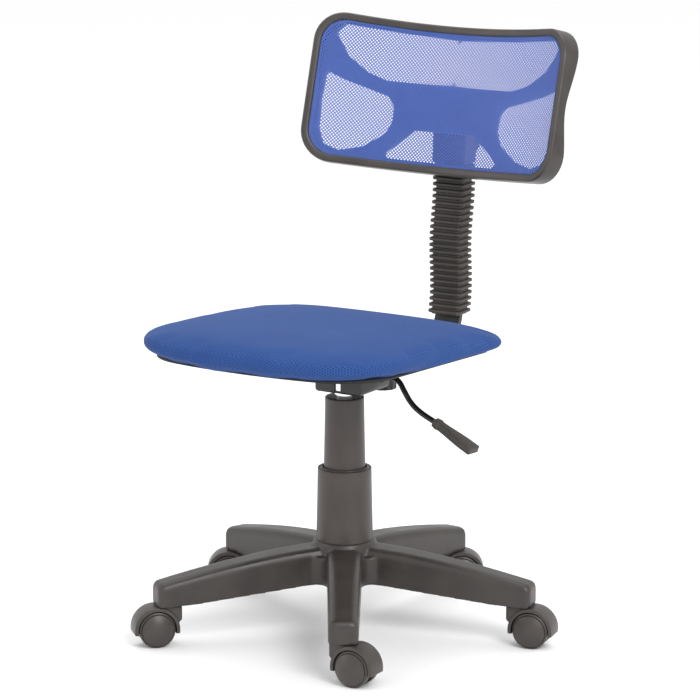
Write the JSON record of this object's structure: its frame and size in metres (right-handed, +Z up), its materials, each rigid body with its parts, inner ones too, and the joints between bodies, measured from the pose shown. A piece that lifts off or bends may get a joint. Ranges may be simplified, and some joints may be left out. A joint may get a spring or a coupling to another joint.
{
  "type": "swivel office chair",
  "caption": "Small swivel task chair with a padded fabric seat, a low curved mesh backrest on an upright bar, a gas spring column and a star base on twin-wheel casters.",
  "frame": {"origin": "where the column's axis meets the floor", "axes": "+Z up along the column, -Y the way the seat faces, +X the sitter's left"},
  "size_m": [0.5799, 0.6262, 0.8144],
  "materials": {
    "base_nylon": "moulded glass-filled nylon, fine grain",
    "cover_plastic": "moulded polypropylene, satin",
    "caster_plastic": "moulded nylon, satin",
    "wheel_plastic": "moulded nylon wheel, satin",
    "frame_plastic": "moulded polypropylene, fine grain",
    "shell_plastic": "thin moulded shell",
    "strut_plastic": "moulded polypropylene, dyed blue",
    "knob_plastic": "moulded, ribbed",
    "grip_plastic": "moulded, satin",
    "bush_plastic": "acetal",
    "bellows_rubber": "soft folded rubber",
    "black_steel": "powder-coated steel",
    "zinc_steel": "zinc plated",
    "bearing_steel": "ground steel",
    "chrome_cylinder": "bright chrome",
    "plywood": "birch plywood",
    "foam": "moulded polyurethane foam",
    "seat_fabric": "blue knitted spacer mesh",
    "back_mesh_fabric": "open blue mesh"
  },
  "bodies": {
    "base": {"star_base": "base_nylon", "caster_sockets": "zinc_steel", "stand_tube": "black_steel", "guide_bush": "bush_plastic", "thrust_bearing": "bearing_steel", "lower_cover": "cover_plastic", "cover_collar": "cover_plastic"},
    "spindle": {"piston_rod": "bearing_steel", "piston": "zinc_steel", "rod_clip": "zinc_steel"},
    "seat_unit": {"gas_cylinder": "chrome_cylinder", "upper_cover": "cover_plastic", "taper_socket": "black_steel", "mechanism_box": "black_steel", "seat_plate": "black_steel", "plate_bolts": "zinc_steel", "t_nuts": "zinc_steel", "seat_board": "plywood", "seat_foam": "foam", "seat_cover": "seat_fabric", "underside_cover": "shell_plastic"},
    "lever": {"lever_rod": "black_steel", "lever_grip": "grip_plastic"},
    "valve": {"valve_button": "bearing_steel"},
    "bar": {"back_bar": "black_steel", "bar_bellows": "bellows_rubber"},
    "depth_clamp": {"depth_knob": "knob_plastic", "depth_screw": "zinc_steel"},
    "backrest": {"back_bracket": "frame_plastic", "bracket_screws": "zinc_steel", "back_frame": "strut_plastic", "back_rim": "frame_plastic", "back_mesh": "back_mesh_fabric"},
    "height_clamp": {"height_knob": "knob_plastic", "height_screw": "zinc_steel"},
    "caster_1": {"caster_1_hood": "caster_plastic", "caster_1_stem": "zinc_steel", "caster_1_axle": "zinc_steel"},
    "caster_1_wheel_left": {"caster_1_wheel_left": "wheel_plastic"},
    "caster_1_wheel_right": {"caster_1_wheel_right": "wheel_plastic"},
    "caster_2": {"caster_2_hood": "caster_plastic", "caster_2_stem": "zinc_steel", "caster_2_axle": "zinc_steel"},
    "caster_2_wheel_left": {"caster_2_wheel_left": "wheel_plastic"},
    "caster_2_wheel_right": {"caster_2_wheel_right": "wheel_plastic"},
    "caster_3": {"caster_3_hood": "caster_plastic", "caster_3_stem": "zinc_steel", "caster_3_axle": "zinc_steel"},
    "caster_3_wheel_left": {"caster_3_wheel_left": "wheel_plastic"},
    "caster_3_wheel_right": {"caster_3_wheel_right": "wheel_plastic"},
    "caster_4": {"caster_4_hood": "caster_plastic", "caster_4_stem": "zinc_steel", "caster_4_axle": "zinc_steel"},
    "caster_4_wheel_left": {"caster_4_wheel_left": "wheel_plastic"},
    "caster_4_wheel_right": {"caster_4_wheel_right": "wheel_plastic"},
    "caster_5": {"caster_5_hood": "caster_plastic", "caster_5_stem": "zinc_steel", "caster_5_axle": "zinc_steel"},
    "caster_5_wheel_left": {"caster_5_wheel_left": "wheel_plastic"},
    "caster_5_wheel_right": {"caster_5_wheel_right": "wheel_plastic"}
  },
  "joints": [
    {"name": "seat_swivel", "type": "hinge", "parent": "base", "child": "spindle", "pos_m": [0, 0, 0.1], "axis": [0, 0, 1], "continuous": true},
    {"name": "seat_height", "type": "slide", "parent": "spindle", "child": "seat_unit", "axis": [0, 0, 1], "range_m": [-0.05, 0.03]},
    {"name": "lever_lift", "type": "hinge", "parent": "seat_unit", "child": "lever", "pos_m": [0.028, 0.02, 0.374], "axis": [0, -1, 0], "range_deg": [0, 5], "stiffness_Nm_per_rad": 3, "springref_deg": -5.73},
    {"name": "valve_press", "type": "slide", "parent": "seat_unit", "child": "valve", "axis": [0, 0, -1], "range_m": [0, 0.004]},
    {"name": "back_depth", "type": "slide", "parent": "seat_unit", "child": "bar", "axis": [0, 1, 0], "range_m": [-0.02, 0.02]},
    {"name": "depth_knob_turn", "type": "hinge", "parent": "seat_unit", "child": "depth_clamp", "pos_m": [0, 0.102, 0.333], "axis": [0, 0, 1], "range_deg": [0, 720]},
    {"name": "back_height", "type": "slide", "parent": "bar", "child": "backrest", "axis": [0, 0.0523, 0.9986], "range_m": [-0.03, 0.03], "deforming": ["bar_bellows"]},
    {"name": "height_knob_turn", "type": "hinge", "parent": "backrest", "child": "height_clamp", "pos_m": [0, 0.29842, 0.636], "axis": [0, 0.9986, -0.0523], "range_deg": [0, 720]},
    {"name": "caster_1_swivel", "type": "hinge", "parent": "base", "child": "caster_1", "pos_m": [0.12876, -0.21429, 0.06], "axis": [0, 0, 1], "continuous": true},
    {"name": "caster_1_wheel_left_roll", "type": "hinge", "parent": "caster_1", "child": "caster_1_wheel_left", "pos_m": [0.14876, -0.21394, 0.025], "axis": [-0.0175, 0.9998, 0], "continuous": true},
    {"name": "caster_1_wheel_right_roll", "type": "hinge", "parent": "caster_1", "child": "caster_1_wheel_right", "pos_m": [0.14876, -0.21394, 0.025], "axis": [-0.0175, 0.9998, 0], "continuous": true},
    {"name": "caster_2_swivel", "type": "hinge", "parent": "base", "child": "caster_2", "pos_m": [0.24359, 0.05624, 0.06], "axis": [0, 0, 1], "continuous": true},
    {"name": "caster_2_wheel_left_roll", "type": "hinge", "parent": "caster_2", "child": "caster_2_wheel_left", "pos_m": [0.26322, 0.06005, 0.025], "axis": [-0.1908, 0.9816, 0], "continuous": true},
    {"name": "caster_2_wheel_right_roll", "type": "hinge", "parent": "caster_2", "child": "caster_2_wheel_right", "pos_m": [0.26322, 0.06005, 0.025], "axis": [-0.1908, 0.9816, 0], "continuous": true},
    {"name": "caster_3_swivel", "type": "hinge", "parent": "base", "child": "caster_3", "pos_m": [0.02179, 0.24905, 0.06], "axis": [0, 0, 1], "continuous": true},
    {"name": "caster_3_wheel_left_roll", "type": "hinge", "parent": "caster_3", "child": "caster_3_wheel_left", "pos_m": [0.03893, 0.25935, 0.025], "axis": [-0.515, 0.8572, 0], "continuous": true},
    {"name": "caster_3_wheel_right_roll", "type": "hinge", "parent": "caster_3", "child": "caster_3_wheel_right", "pos_m": [0.03893, 0.25935, 0.025], "axis": [-0.515, 0.8572, 0], "continuous": true},
    {"name": "caster_4_swivel", "type": "hinge", "parent": "base", "child": "caster_4", "pos_m": [-0.23013, 0.09768, 0.06], "axis": [0, 0, 1], "continuous": true},
    {"name": "caster_4_wheel_left_roll", "type": "hinge", "parent": "caster_4", "child": "caster_4_wheel_left", "pos_m": [-0.24727, 0.08738, 0.025], "axis": [0.515, -0.8572, 0], "continuous": true},
    {"name": "caster_4_wheel_right_roll", "type": "hinge", "parent": "caster_4", "child": "caster_4_wheel_right", "pos_m": [-0.24727, 0.08738, 0.025], "axis": [0.515, -0.8572, 0], "continuous": true},
    {"name": "caster_5_swivel", "type": "hinge", "parent": "base", "child": "caster_5", "pos_m": [-0.16401, -0.18868, 0.06], "axis": [0, 0, 1], "continuous": true},
    {"name": "caster_5_wheel_left_roll", "type": "hinge", "parent": "caster_5", "child": "caster_5_wheel_left", "pos_m": [-0.17791, -0.20306, 0.025], "axis": [0.7193, -0.6947, 0], "continuous": true},
    {"name": "caster_5_wheel_right_roll", "type": "hinge", "parent": "caster_5", "child": "caster_5_wheel_right", "pos_m": [-0.17791, -0.20306, 0.025], "axis": [0.7193, -0.6947, 0], "continuous": true}
  ],
  "couplings": [
    {"joint": "valve_press", "follows": "lever_lift", "m_per_rad": 0.032}
  ]
}
